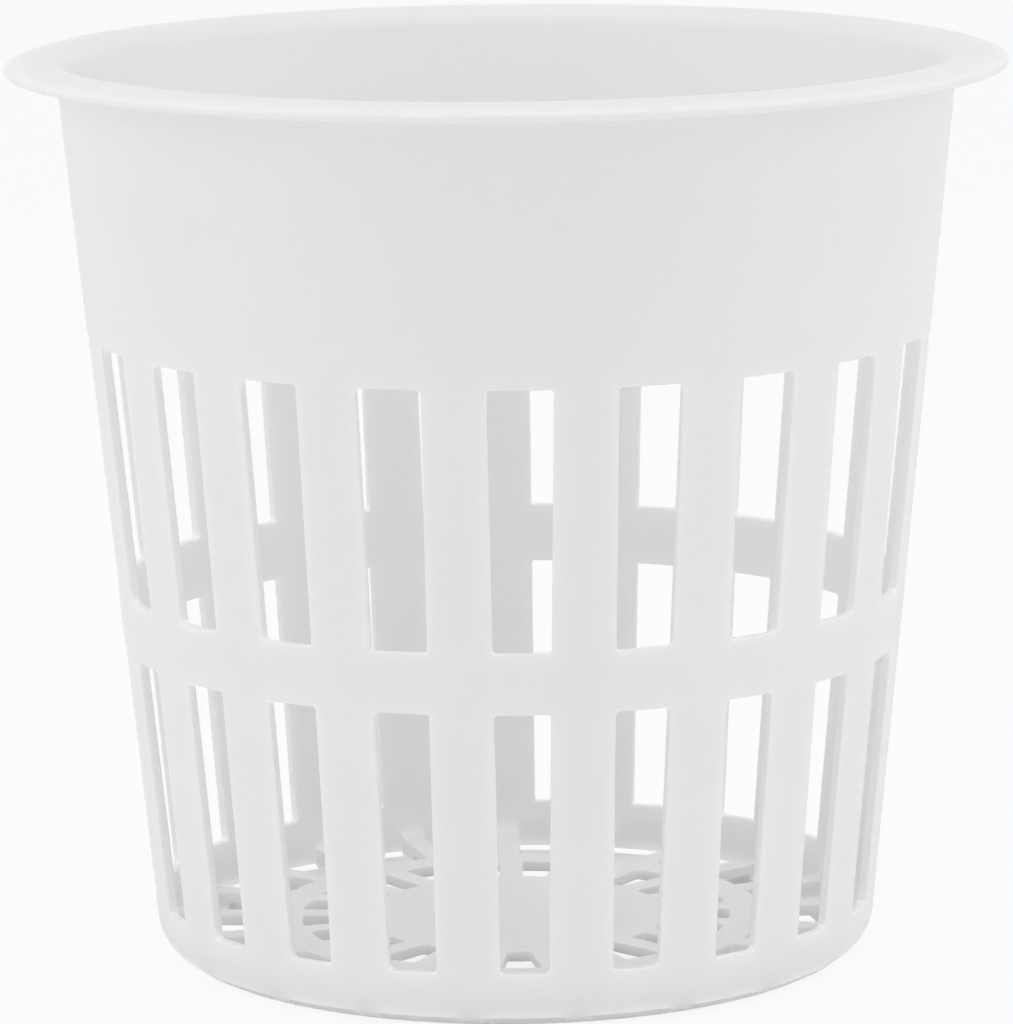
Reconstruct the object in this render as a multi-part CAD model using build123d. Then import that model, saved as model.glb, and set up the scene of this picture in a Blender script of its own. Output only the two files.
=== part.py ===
from build123d import *
import math
import os

# Hydroponic net pot: one injection-moulded piece in white polypropylene.
# Millimetres, +Z up, origin on the axis, in the plane that the foot ring stands on.

# Body
overall_height = 76.8
base_diameter = 60.8            # outside of the wall, carried down to the base plane
neck_diameter = 75.4            # outside of the wall where the lip springs from it
wall_thickness = 0.85
base_corner_radius = 3.6        # outside, from the wall down to the foot ring
base_corner_flats = 4           # the corner is turned under in this many narrow cones
floor_thickness = 1.0
floor_rise = 1.3                # underside of the floor above the plane that the pot stands on
floor_chamfer = 1.2             # inside corner of wall and floor

# Foot ring round the raised floor
foot_flat_width = 0.73          # flat that it stands on, inside the corner
foot_ring_width = 2.1
foot_ring_height = 0.85         # where it passes below the outer openings of the floor

# Lip that hangs in the hole of a lid, tray or raft
lip_overhang = 4.3              # how far it stands out past the wall
lip_root_thickness = 1.3
lip_edge_thickness = 0.6
mouth_chamfer = 1.0             # from the crest of the lip into the bore

# Slots through the wall, two rows in the same columns
slot_count = 21
rib_width = 5.25                # upright bars between the slots
lower_slot_start = 5.0          # height of the lower sills
lower_slot_height = 21.9
band_height = 5.1               # hoop left between the two rows
upper_slot_height = 21.6

# Openings through the floor, two rings in the columns of the slots, with spokes below the bars
outer_opening_setback = 0.25    # from the inside of the wall to the outer ones
outer_opening_length = 8.2
ring_width = 2.9                # hoop left between the two rings
inner_opening_length = 5.5
floor_spoke_width = 2.0

# What follows from the sizes above
base_radius = base_diameter / 2
neck_radius = neck_diameter / 2
lip_radius = neck_radius + lip_overhang
lip_underside = overall_height - lip_root_thickness
lip_edge_top = lip_underside + lip_edge_thickness
floor_top = floor_rise + floor_thickness
draft_slope = (neck_radius - base_radius) / lip_underside
draft_angle = math.atan(draft_slope)
wall_across = wall_thickness / math.cos(draft_angle)
corner_turn = math.pi / 2 - draft_angle
corner_centre = base_radius - base_corner_radius * math.tan(corner_turn / 2)
foot_inner_radius = corner_centre - foot_flat_width
foot_outer_radius = foot_inner_radius + foot_ring_width
slot_pitch = 360 / slot_count
upper_slot_start = lower_slot_start + lower_slot_height + band_height


def outside_radius(height):
    return base_radius + draft_slope * height


def inside_radius(height):
    return outside_radius(height) - wall_across


def corner_of(section, place):
    return section.vertices().sort_by_distance(Vector(*place))[0]


def base_corner(number):
    """Upper end of one of the cones that turn the wall under; number 0 is the foot ring's flat."""
    turn = corner_turn * number / base_corner_flats
    across = base_corner_radius * math.sin(turn)
    up = base_corner_radius * (1 - math.cos(turn))
    return (corner_centre + across, up)


def pot_section():
    """Half section of wall, floor and lip, in the XZ plane."""
    neck_corner = (neck_radius, lip_underside)
    edge_bottom = (lip_radius, lip_underside)
    edge_top = (lip_radius, lip_edge_top)
    crest = (inside_radius(overall_height) + mouth_chamfer, overall_height)
    mouth = (inside_radius(overall_height - mouth_chamfer), overall_height - mouth_chamfer)
    floor_corner = (inside_radius(floor_top), floor_top)

    underside = [(0, floor_rise), (foot_inner_radius, floor_rise), (foot_inner_radius, 0)]
    corner = [base_corner(number) for number in range(base_corner_flats + 1)]
    outside = [neck_corner, edge_bottom, edge_top]
    inside = [crest, mouth, floor_corner, (0, floor_top)]
    section = make_face(Polyline(*underside, *corner, *outside, *inside, close=True))
    section = chamfer(corner_of(section, floor_corner), floor_chamfer)
    return Plane.XZ * section


def slot_width(height):
    """Room between two upright bars at a height, on the outside of the wall."""
    return 2 * outside_radius(height) * math.sin(math.radians(slot_pitch / 2)) - rib_width


def wall_slot(start, height):
    """Cutter for one slot, on the -Y side, with sides that follow the bars."""
    end = start + height
    half_low = slot_width(start) / 2
    half_high = slot_width(end) / 2
    outline = make_face(
        Polyline((-half_low, start), (half_low, start), (half_high, end), (-half_high, end), close=True)
    )
    return extrude(Plane.XZ * outline, amount=lip_radius)


def wall_slots():
    """All slots of both rows; a bar, not a slot, faces -Y."""
    rows = [
        wall_slot(lower_slot_start, lower_slot_height),
        wall_slot(upper_slot_start, upper_slot_height),
    ]
    turns = [slot_pitch * (number + 0.5) for number in range(slot_count)]
    return [Rot(Z=turn) * cutter for turn in turns for cutter in rows]


def floor_ring(start, end):
    """Openings of one ring of the floor, parted by straight spokes; a spoke lies towards -Y."""
    spoke = Pos(Y=-end / 2) * Rectangle(floor_spoke_width, end)
    spokes = [Rot(Z=slot_pitch * number) * spoke for number in range(slot_count)]
    return Circle(end) - Circle(start) - spokes


def floor_openings():
    """Cutters for both rings; the outer one runs out through the base corner, over the foot ring."""
    outer_end = inside_radius(floor_top) - outer_opening_setback
    outer_start = outer_end - outer_opening_length
    inner_end = outer_start - ring_width
    inner_start = inner_end - inner_opening_length
    above_foot = Pos(Z=foot_ring_height) * floor_ring(outer_start, outer_end)
    beside_foot = floor_ring(foot_outer_radius, outer_end)
    return [
        extrude(floor_ring(inner_start, inner_end), amount=base_corner_radius),
        extrude(above_foot, amount=base_corner_radius - foot_ring_height),
        extrude(beside_foot, amount=foot_ring_height),
    ]


def net_pot():
    body = revolve(pot_section(), axis=Axis.Z)
    return body - wall_slots() - floor_openings()


os.makedirs("parts", exist_ok=True)
export_step(net_pot(), "parts/net_pot.step")
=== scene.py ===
import bmesh
import bpy
import math
from mathutils import Matrix, Vector


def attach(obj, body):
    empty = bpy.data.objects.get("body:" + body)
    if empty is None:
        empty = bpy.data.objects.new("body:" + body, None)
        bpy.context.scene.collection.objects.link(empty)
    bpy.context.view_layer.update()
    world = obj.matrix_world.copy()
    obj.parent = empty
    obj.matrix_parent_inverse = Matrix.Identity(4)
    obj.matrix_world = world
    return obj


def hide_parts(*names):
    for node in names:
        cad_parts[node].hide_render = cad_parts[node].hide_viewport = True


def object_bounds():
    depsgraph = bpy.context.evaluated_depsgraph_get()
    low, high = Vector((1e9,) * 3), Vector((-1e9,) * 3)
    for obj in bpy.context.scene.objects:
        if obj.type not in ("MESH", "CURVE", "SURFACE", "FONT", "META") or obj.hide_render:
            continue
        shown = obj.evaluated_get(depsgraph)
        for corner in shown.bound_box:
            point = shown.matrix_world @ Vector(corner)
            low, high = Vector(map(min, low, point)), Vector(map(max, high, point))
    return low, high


mm = 0.001

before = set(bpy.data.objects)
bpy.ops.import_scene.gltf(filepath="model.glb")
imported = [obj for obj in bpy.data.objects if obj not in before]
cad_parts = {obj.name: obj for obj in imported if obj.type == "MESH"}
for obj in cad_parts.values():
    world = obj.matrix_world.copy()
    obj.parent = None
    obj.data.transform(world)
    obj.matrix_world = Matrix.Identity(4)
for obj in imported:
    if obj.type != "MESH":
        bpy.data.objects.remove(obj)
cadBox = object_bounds()
print("frame loaded:", sorted(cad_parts))


# Small helpers for colours, nodes and objects

def hexColour(code):
    parts = [int(code[i:i + 2], 16) / 255 for i in (1, 3, 5)]
    linear = [p / 12.92 if p <= 0.04045 else ((p + 0.055) / 1.055) ** 2.4 for p in parts]
    return (*linear, 1.0)


def addNode(tree, kind, values=(), links=(), **settings):
    node = tree.nodes.new(kind)
    for name, value in settings.items():
        setattr(node, name, value)
    for socket, value in dict(values).items():
        node.inputs[socket].default_value = value
    for socket, source in dict(links).items():
        tree.links.new(source, node.inputs[socket])
    return node


def newMaterial(name):
    material = bpy.data.materials.new(name)
    material.use_nodes = True
    material.node_tree.nodes.clear()
    return material, material.node_tree


def addObject(bm, name):
    mesh = bpy.data.meshes.new(name)
    bm.to_mesh(mesh)
    bm.free()
    obj = bpy.data.objects.new(name, mesh)
    bpy.context.scene.collection.objects.link(obj)
    return obj


# White polypropylene, injection moulded: satin skin, and light goes some way into the thin wall
plastic = {
    "colour": "#F9F9F9",
    "colourThin": "#F6F6F6",       # where the melt ran thinner and colder
    "roughness": 0.42,
    "roughnessSpread": 0.07,
    "ior": 1.49,
    "specular": 0.3,               # the fine moulded grain breaks up the reflection
    "scatterShare": 0.7,
    "scatterDepth": 1.3,           # mm
    "flowSize": 16.0,              # mm, broad patches of flow
    "grainSize": 0.55,             # mm, drawn coarser than the real 0.1 mm so that it shows
    "grainHeight": 0.006,          # mm
}


def polypropyleneMaterial():
    material, tree = newMaterial("white_moulded_polypropylene")
    place = addNode(tree, "ShaderNodeTexCoord").outputs["Object"]
    flow = addNode(tree, "ShaderNodeTexNoise",
                   {"Scale": 1 / (plastic["flowSize"] * mm), "Detail": 3.0, "Roughness": 0.55,
                    "Distortion": 0.6},
                   {"Vector": place})
    grain = addNode(tree, "ShaderNodeTexNoise",
                    {"Scale": 1 / (plastic["grainSize"] * mm), "Detail": 2.0, "Roughness": 0.6},
                    {"Vector": place})
    tint = addNode(tree, "ShaderNodeMix",
                   {"A": hexColour(plastic["colour"]), "B": hexColour(plastic["colourThin"])},
                   {"Factor": flow.outputs["Fac"]}, data_type="RGBA")
    gloss = addNode(tree, "ShaderNodeMapRange",
                    {"From Min": 0.3, "From Max": 0.7,
                     "To Min": plastic["roughness"] - plastic["roughnessSpread"],
                     "To Max": plastic["roughness"] + plastic["roughnessSpread"]},
                    {"Value": flow.outputs["Fac"]})
    bump = addNode(tree, "ShaderNodeBump", {"Strength": 1.0, "Distance": plastic["grainHeight"] * mm},
                   {"Height": grain.outputs["Fac"]})
    shader = addNode(tree, "ShaderNodeBsdfPrincipled",
                     {"IOR": plastic["ior"],
                      "Specular IOR Level": plastic["specular"],
                      "Subsurface Weight": plastic["scatterShare"],
                      "Subsurface Radius": (1.0, 1.0, 1.0),
                      "Subsurface Scale": plastic["scatterDepth"] * mm},
                     {"Base Color": tint.outputs["Result"],
                      "Roughness": gloss.outputs["Result"],
                      "Normal": bump.outputs["Normal"]},
                     subsurface_method="BURLEY")
    addNode(tree, "ShaderNodeOutputMaterial", links={"Surface": shader.outputs["BSDF"]})
    return material


# The net pot: one section drawn as a wire, spun round, its columns moved to the bars and
# spokes, then the slots and floor openings are taken out of both skins and walled
netPot = {
    "baseRadius": 30.4,            # mm, outside of the wall carried down to the base
    "neckRadius": 37.7,            # outside of the wall under the lip
    "wall": 0.85,
    "baseRound": 3.6,
    "footRing": (26.4, 28.5),      # from and to, measured from the axis
    "footHeight": 0.85,            # where it passes below the outer openings
    "floorRise": 1.3,
    "floorTop": 2.3,
    "floorRound": 1.6,             # inside corner of wall and floor
    "lipRoot": 1.3,
    "lipEdge": 0.6,
    "edgeRound": 0.25,
    "neckFillet": 0.4,
    "mouthRound": 1.9,
    "slots": 21,
    "bar": 5.25,
    "slotRows": ((5.0, 26.9), (32.0, 53.6)),
    "slotRound": 0.25,
    "slotRoundSteps": 2,
    "slotEdge": 4,                 # columns from the middle of a slot to its side
    "cornerCell": 0.8,             # mm, cell kept free beside that side for the corner round
    "outerRing": (21.32, 29.52),   # openings of the floor, measured from the axis
    "innerRing": (12.92, 18.42),
    "spoke": 2.0,
    "outerEdge": 3,                # columns from the middle of a spoke to its side, in each ring
    "innerEdge": 5,
    "gateRadius": 2.0,             # shallow dimple under the hub where the melt came in
    "gateDepth": 0.3,
    "edgeSoftness": 0.18,
    "softSteps": 2,
    "softAngle": 40.0,             # degrees, sharper edges than this are softened
    "columns": 420,                # a multiple of the slots
}

# How far a point may lie from a level, ring, rim or slot corner that it is counted to, in mm
slack = {"level": 0.01, "ring": 0.05, "rim": 0.06, "corner": 0.02}

lipRadius = min(cadBox[1].x, cadBox[1].y) / mm
potHeight = cadBox[1].z / mm
lipUnderside = potHeight - netPot["lipRoot"]
slope = (netPot["neckRadius"] - netPot["baseRadius"]) / lipUnderside
draft = math.atan(slope)
slotPitch = 2 * math.pi / netPot["slots"]
slotLevels = [z for row in netPot["slotRows"] for z in row]
openingTop = netPot["floorTop"] + netPot["floorRound"]     # the floor's openings end below this height


def outsideRadius(z):
    return netPot["baseRadius"] + slope * z


def insideRadius(z):
    return outsideRadius(z) - netPot["wall"] / math.cos(draft)


def slotWidth(z):
    return 2 * outsideRadius(z) * math.sin(slotPitch / 2) - netPot["bar"]


# The wire lies in the YZ plane on the -Y side, so a point is its distance from the axis and its height
def lineTo(bm, tip, radius, z):
    tip = bmesh.ops.extrude_vert_indiv(bm, verts=[tip])["verts"][0]
    tip.co = (0, -radius, z)
    return tip


def arcTo(bm, tip, centreRadius, centreZ, turn, steps):
    made = bmesh.ops.spin(bm, geom=[tip], cent=(0, -centreRadius, centreZ), axis=(-1, 0, 0),
                          angle=turn, steps=steps)
    return [v for v in made["geom_last"] if isinstance(v, bmesh.types.BMVert)][0]


def drawSection(bm):
    s = netPot
    halfCorner = math.pi / 4 + draft / 2
    wallTurn = math.pi / 2 - draft
    rise, top = s["floorRise"], s["floorTop"]
    footStart, footEnd = s["footRing"]
    openStart, openEnd = s["outerRing"]
    tip = bm.verts.new((0, 0, rise + s["gateDepth"]))
    # underside of the floor, with a vertex at each ring edge, then the foot ring
    tip = lineTo(bm, tip, s["gateRadius"], rise + s["gateDepth"])
    tip = lineTo(bm, tip, s["gateRadius"] + s["gateDepth"] / 2, rise)
    for radius in (*s["innerRing"], openStart, footStart):
        tip = lineTo(bm, tip, radius, rise)
    tip = lineTo(bm, tip, footStart, s["footHeight"])
    tip = lineTo(bm, tip, footStart, 0)
    # round into the wall, in stretches that meet where the outer openings start and end
    centre = s["baseRadius"] - s["baseRound"] / math.tan(halfCorner)
    footTurn = math.asin((footEnd - centre) / s["baseRound"])
    openTurn = math.asin((openEnd - centre) / s["baseRound"])
    tip = lineTo(bm, tip, centre, 0)
    for turn, steps in ((footTurn, 3), (openTurn - footTurn, 2), (wallTurn - openTurn, 5)):
        tip = arcTo(bm, tip, centre, s["baseRound"], turn, steps)
    # wall, fillet under the lip, flat underside, thin rounded edge
    reach = s["neckFillet"] / math.tan(halfCorner)
    tip = lineTo(bm, tip, s["neckRadius"] - reach * math.sin(draft),
                 lipUnderside - reach * math.cos(draft))
    tip = arcTo(bm, tip, s["neckRadius"] + reach, lipUnderside - s["neckFillet"], -wallTurn, steps=4)
    edgeCentre = lipRadius - s["edgeRound"]
    tip = lineTo(bm, tip, edgeCentre, lipUnderside)
    tip = arcTo(bm, tip, edgeCentre, lipUnderside + s["edgeRound"], math.pi / 2, steps=4)
    # domed top of the lip, up to the crest
    mouthReach = s["mouthRound"] / math.tan(halfCorner)
    crest = insideRadius(potHeight) + mouthReach
    drop = s["lipRoot"] - s["lipEdge"]
    run = lipRadius - crest
    domeRadius = (run * run + drop * drop) / (2 * drop)
    domeCentre = potHeight - domeRadius
    edgeLean = math.asin((edgeCentre - crest) / (domeRadius - s["edgeRound"]))
    edgeTop = domeCentre + (domeRadius - s["edgeRound"]) * math.cos(edgeLean)
    tip = lineTo(bm, tip, lipRadius, edgeTop)
    tip = arcTo(bm, tip, edgeCentre, edgeTop, math.pi / 2 - edgeLean, steps=4)
    tip = arcTo(bm, tip, crest, domeCentre, edgeLean, steps=6)
    # round into the bore, inside of the wall, round into the floor, floor to the axis
    tip = arcTo(bm, tip, crest, potHeight - s["mouthRound"], wallTurn, steps=8)
    bend = s["floorRound"]
    inside = insideRadius(top) - bend / math.tan(halfCorner)
    endTurn = math.asin((openEnd - inside) / bend)
    footTurn = math.asin((footEnd - inside) / bend)
    tip = lineTo(bm, tip, inside + bend * math.cos(draft), top + bend - bend * math.sin(draft))
    for turn, steps in ((wallTurn - endTurn, 1), (endTurn - footTurn, 3), (footTurn, 2)):
        tip = arcTo(bm, tip, inside, top + bend, -turn, steps)
    for radius in (footStart, openStart, *reversed(s["innerRing"])):
        tip = lineTo(bm, tip, radius, top)
    lineTo(bm, tip, 0, top)


def bearingOf(v):
    return math.atan2(v.co.x, -v.co.y)


def radiusOf(v):
    return math.hypot(v.co.x, v.co.y)


# Place of a column within its pitch: the stretch within ±edge columns is stretched to ±halfAngle.
# The last cell on each side of an edge is kept wide where a corner has to be rounded there.
def columnBearing(column, perPitch, firstMiddle, edge, halfAngle, wideCell=0.0):
    step = 2 * math.pi / netPot["columns"]
    halfPitch = perPitch / 2
    nearest = round((column - firstMiddle) / perPitch)
    offset = column - firstMiddle - nearest * perPitch
    side = math.copysign(1, offset)
    far = abs(offset)
    outerHalf = halfPitch * step
    if far == edge:
        angle = halfAngle
    elif far < edge:
        inner = halfAngle - wideCell
        angle = far / (edge - 1) * inner if wideCell else far / edge * halfAngle
    elif wideCell:
        start = halfAngle + wideCell
        angle = start + (far - edge - 1) / (halfPitch - edge - 1) * (outerHalf - start)
    else:
        angle = halfAngle + (far - edge) / (halfPitch - edge) * (outerHalf - halfAngle)
    return (firstMiddle + nearest * perPitch) * step + side * angle


def inRing(name, radius):
    start, end = netPot[name + "Ring"]
    return start - slack["ring"] < radius < end + slack["ring"]


def placeColumns(bm):
    s = netPot
    columns = s["columns"]
    perSlot = columns // s["slots"]
    for v in bm.verts:
        r, z = radiusOf(v), v.co.z
        if r < 1e-6:
            continue
        column = round(bearingOf(v) / (2 * math.pi) * columns)
        spokeAngle = math.asin(min(1, s["spoke"] / 2 / r))
        bearing = column * 2 * math.pi / columns
        if any(abs(z - level) < slack["level"] for level in slotLevels):
            halfSlot = math.asin(slotWidth(z) / 2 / r)
            bearing = columnBearing(column, perSlot, perSlot // 2, s["slotEdge"], halfSlot,
                                    s["cornerCell"] / r)
        elif z < openingTop and inRing("outer", r):
            bearing = columnBearing(column, perSlot, 0, s["outerEdge"], spokeAngle)
        elif z < openingTop and inRing("inner", r):
            bearing = columnBearing(column, perSlot, 0, s["innerEdge"], spokeAngle)
        v.co.x = r * math.sin(bearing)
        v.co.y = -r * math.cos(bearing)


# Which opening a point of either skin lies in, or None where there is plastic
def openingAt(point, margin):
    s = netPot
    r = math.hypot(point.x, point.y)
    bearing = math.atan2(point.x, -point.y)
    number = math.floor(bearing / slotPitch) % s["slots"]
    place = bearing % slotPitch
    for name, (low, high) in zip(("lower", "upper"), s["slotRows"]):
        if low - margin < point.z < high + margin:
            inside = r * abs(math.sin(place - slotPitch / 2)) < slotWidth(point.z) / 2 + margin
            return (name, number) if inside else None
    spokeGap = r * math.sin(min(place, slotPitch - place)) - s["spoke"] / 2
    if point.z > openingTop or spokeGap < -margin:
        return None
    inFoot = point.z < s["footHeight"] - margin and r < s["footRing"][1] - margin
    for name in ("inner", "outer"):
        start, end = s[name + "Ring"]
        if start - margin < r < end + margin and not inFoot:
            return (name, number)
    return None


# The bridge over the foot ring slopes from its outside to its inside edge, so it gets an upper corner
def squareFoot(bm, rungs):
    made = bmesh.ops.subdivide_edges(bm, edges=rungs, cuts=1)["geom_inner"]
    for v in [g for g in made if isinstance(g, bmesh.types.BMVert)]:
        below = min((e.other_vert(v) for e in v.link_edges), key=lambda u: u.co.z)
        v.co = (below.co.x, below.co.y, netPot["footHeight"])


# Rims of slots and inner openings are whole loops; an outer opening has chains at its two ends
# and on the foot ring that crosses it, and its sides are left for later
def rimOf(edge):
    a, b = edge.verts
    name, number = openingAt((a.co + b.co) / 2, slack["rim"])
    if name != "outer":
        return name, number
    r = radiusOf(a)
    if abs(r - radiusOf(b)) > slack["level"] or abs(a.co.z - b.co.z) > slack["level"]:
        return "side", 0
    start, end = netPot["outerRing"]
    if abs(r - start) < slack["ring"]:
        return "start", number
    return ("end" if abs(r - end) < slack["ring"] else "foot"), number


def nearestVert(face, radius, z):
    return min(face.verts, key=lambda v: math.hypot(radiusOf(v) - radius, v.co.z - z))


def fillSpokeSides(bm):
    s = netPot
    rims = [e for e in bm.edges if e.is_boundary]
    sides = bmesh.ops.holes_fill(bm, edges=rims, sides=0)["faces"]
    for side in sides:
        inner, outer = s["footRing"]
        low, high = nearestVert(side, inner, s["floorRise"]), nearestVert(side, inner, s["floorTop"])
        other = bmesh.utils.face_split(side, low, high)[0]
        rest = max(side, other, key=lambda f: max(radiusOf(v) for v in f.verts))
        low, high = nearestVert(rest, outer, s["footHeight"]), nearestVert(rest, outer, s["floorTop"])
        bmesh.utils.face_split(rest, low, high)
    print("spoke sides:", len(sides))


def cutOpenings(bm):
    cells = [f for f in bm.faces if openingAt(f.calc_center_median(), 0)]
    bmesh.ops.delete(bm, geom=cells, context="FACES")
    rims = {}
    for e in bm.edges:
        if e.is_boundary:
            rims.setdefault(rimOf(e), []).append(e)
    walls = []
    for (name, number), edges in rims.items():
        if name == "side":
            continue
        made = bmesh.ops.bridge_loops(bm, edges=edges)["edges"]
        if name in ("lower", "upper"):
            walls += made
        elif name == "foot":
            squareFoot(bm, made)
    fillSpokeSides(bm)
    print("rims:", len(rims), "still open:", sum(e.is_boundary for e in bm.edges))
    return walls


def slotCorners(walls):
    found = []
    for e in walls:
        levels = [z for z in slotLevels if all(abs(v.co.z - z) < slack["level"] for v in e.verts)]
        if not levels:
            continue
        half = slotWidth(levels[0]) / 2
        offsets = [(bearingOf(v) % slotPitch) - slotPitch / 2 for v in e.verts]
        sides = [radiusOf(v) * abs(math.sin(o)) for v, o in zip(e.verts, offsets)]
        if all(abs(side - half) < slack["corner"] for side in sides):
            found.append(e)
    return found


def makeNetPot():
    bm = bmesh.new()
    drawSection(bm)
    bmesh.ops.spin(bm, geom=bm.verts[:] + bm.edges[:], cent=(0, 0, 0), axis=(0, 0, 1),
                   angle=2 * math.pi, steps=netPot["columns"], use_merge=True)
    bmesh.ops.remove_doubles(bm, verts=bm.verts[:], dist=1e-4)
    for z in slotLevels:
        bmesh.ops.bisect_plane(bm, geom=bm.verts[:] + bm.edges[:] + bm.faces[:], plane_co=(0, 0, z),
                               plane_no=(0, 0, 1))
    placeColumns(bm)
    walls = cutOpenings(bm)
    corners = slotCorners(walls)
    print("slot corners:", len(corners))
    bmesh.ops.bevel(bm, geom=corners, offset=netPot["slotRound"], affect="EDGES",
                    segments=netPot["slotRoundSteps"], profile=0.5, material=-1)
    bmesh.ops.recalc_face_normals(bm, faces=bm.faces[:])
    for f in bm.faces:
        f.smooth = True
    bmesh.ops.scale(bm, vec=(mm, mm, mm), verts=bm.verts[:])
    pot = addObject(bm, "netPotBody")
    soft = pot.modifiers.new("soft edges", "BEVEL")
    soft.width = netPot["edgeSoftness"] * mm
    soft.segments = netPot["softSteps"]
    soft.limit_method = "ANGLE"
    soft.angle_limit = math.radians(netPot["softAngle"])
    soft.harden_normals = True
    pot.data.materials.append(polypropyleneMaterial())
    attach(pot, "root")
    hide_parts("net_pot")
    print("net pot:", len(pot.data.vertices), "vertices before its soft edges")
    return pot


# Floor and lights: a white sweep under soft light from both sides
studio = {
    "floorColour": "#FCFCFC",
    "floorRadius": 4000.0,         # mm
    "floorSides": 96,
    "floorGlow": 0.88,             # share of the floor that the camera sees as plain white
    "skyStrength": 0.6,
    "lampDistance": 620.0,         # mm from the pot
    "lampSize": 520.0,
    "sideForward": 0.25,           # towards the camera, as a share of the way aside
    "sideLift": 0.55,
    "topForward": 0.2,
    "leftPower": 0.53,             # W
    "rightPower": 0.49,
    "topPower": 0.5,
}


def seenDirectly(tree):
    path = addNode(tree, "ShaderNodeLightPath").outputs
    glossy = addNode(tree, "ShaderNodeMath", links={0: path["Is Camera Ray"], 1: path["Is Glossy Ray"]},
                     operation="MAXIMUM")
    return addNode(tree, "ShaderNodeMath", links={0: glossy.outputs[0], 1: path["Is Transmission Ray"]},
                   operation="MAXIMUM").outputs[0]


def makeFloor():
    bm = bmesh.new()
    bmesh.ops.create_circle(bm, cap_ends=True, segments=studio["floorSides"],
                            radius=studio["floorRadius"] * mm)
    floor = addObject(bm, "studioFloor")
    material, tree = newMaterial("matt_white_paper")
    paper = addNode(tree, "ShaderNodeBsdfDiffuse", {"Color": hexColour(studio["floorColour"])})
    glow = addNode(tree, "ShaderNodeEmission", {"Color": (1, 1, 1, 1), "Strength": 1.0})
    share = addNode(tree, "ShaderNodeMath", {1: studio["floorGlow"]}, {0: seenDirectly(tree)},
                    operation="MULTIPLY")
    mix = addNode(tree, "ShaderNodeMixShader",
                  links={0: share.outputs[0], 1: paper.outputs[0], 2: glow.outputs[0]})
    addNode(tree, "ShaderNodeOutputMaterial", links={"Surface": mix.outputs[0]})
    floor.data.materials.append(material)


def makeSky():
    world = bpy.data.worlds.new("white tent")
    world.use_nodes = True
    tree = world.node_tree
    tree.nodes.clear()
    level = addNode(tree, "ShaderNodeMapRange", {"To Min": studio["skyStrength"], "To Max": 1.0},
                    {"Value": seenDirectly(tree)})
    sky = addNode(tree, "ShaderNodeBackground", {"Color": (1, 1, 1, 1)},
                  {"Strength": level.outputs["Result"]})
    addNode(tree, "ShaderNodeOutputWorld", links={"Surface": sky.outputs[0]})
    bpy.context.scene.world = world


# The camera's fit to the picture, about the pot's axis
shot = {
    "bearing": -44.12,             # degrees round from -Y
    "elevation": 10.52,
    "roll": -0.651,
    "distance": 498.7,             # mm from the target
    "lens": 206.18,                # mm
    "sensor": 36.0,
    "clipStart": 10.0,
    "targetAside": -0.393,         # mm to the right of the axis
    "targetHeight": 37.36,
}


def cameraAxes():
    turn = math.radians(shot["bearing"])
    lift = math.radians(shot["elevation"])
    right = Vector((math.cos(turn), math.sin(turn), 0))
    back = Vector((math.sin(turn) * math.cos(lift), -math.cos(turn) * math.cos(lift), math.sin(lift)))
    return right, back.cross(right), back


def makeCamera():
    right, up, back = cameraAxes()
    roll = math.radians(shot["roll"])
    across = math.cos(roll) * right + math.sin(roll) * up
    upright = math.cos(roll) * up - math.sin(roll) * right
    target = right * shot["targetAside"] * mm + Vector((0, 0, shot["targetHeight"] * mm))
    place = target + back * shot["distance"] * mm
    data = bpy.data.cameras.new("shot")
    data.lens = shot["lens"]
    data.sensor_width = shot["sensor"]
    data.clip_start = shot["clipStart"] * mm
    camera = bpy.data.objects.new("shot", data)
    camera.matrix_world = Matrix.Translation(place) @ Matrix((across, upright, back)).transposed().to_4x4()
    bpy.context.scene.collection.objects.link(camera)
    bpy.context.scene.camera = camera


def addLamp(name, direction, power):
    centre = Vector((0, 0, potHeight / 2 * mm))
    data = bpy.data.lights.new(name, "AREA")
    data.shape = "DISK"
    data.size = studio["lampSize"] * mm
    data.energy = power
    lamp = bpy.data.objects.new(name, data)
    lamp.location = centre + direction.normalized() * studio["lampDistance"] * mm
    lamp.rotation_euler = direction.to_track_quat("Z", "Y").to_euler()
    bpy.context.scene.collection.objects.link(lamp)


def makeLights():
    right, _, back = cameraAxes()
    forward = Vector((back.x, back.y, 0)).normalized()
    sideways = studio["sideForward"] * forward + Vector((0, 0, studio["sideLift"]))
    addLamp("left softbox", sideways - right, studio["leftPower"])
    addLamp("right softbox", sideways + right, studio["rightPower"])
    addLamp("top softbox", studio["topForward"] * forward + Vector((0, 0, 1)), studio["topPower"])


makeNetPot()
makeFloor()
makeSky()
makeLights()
makeCamera()
bpy.context.scene.view_settings.view_transform = "Standard"
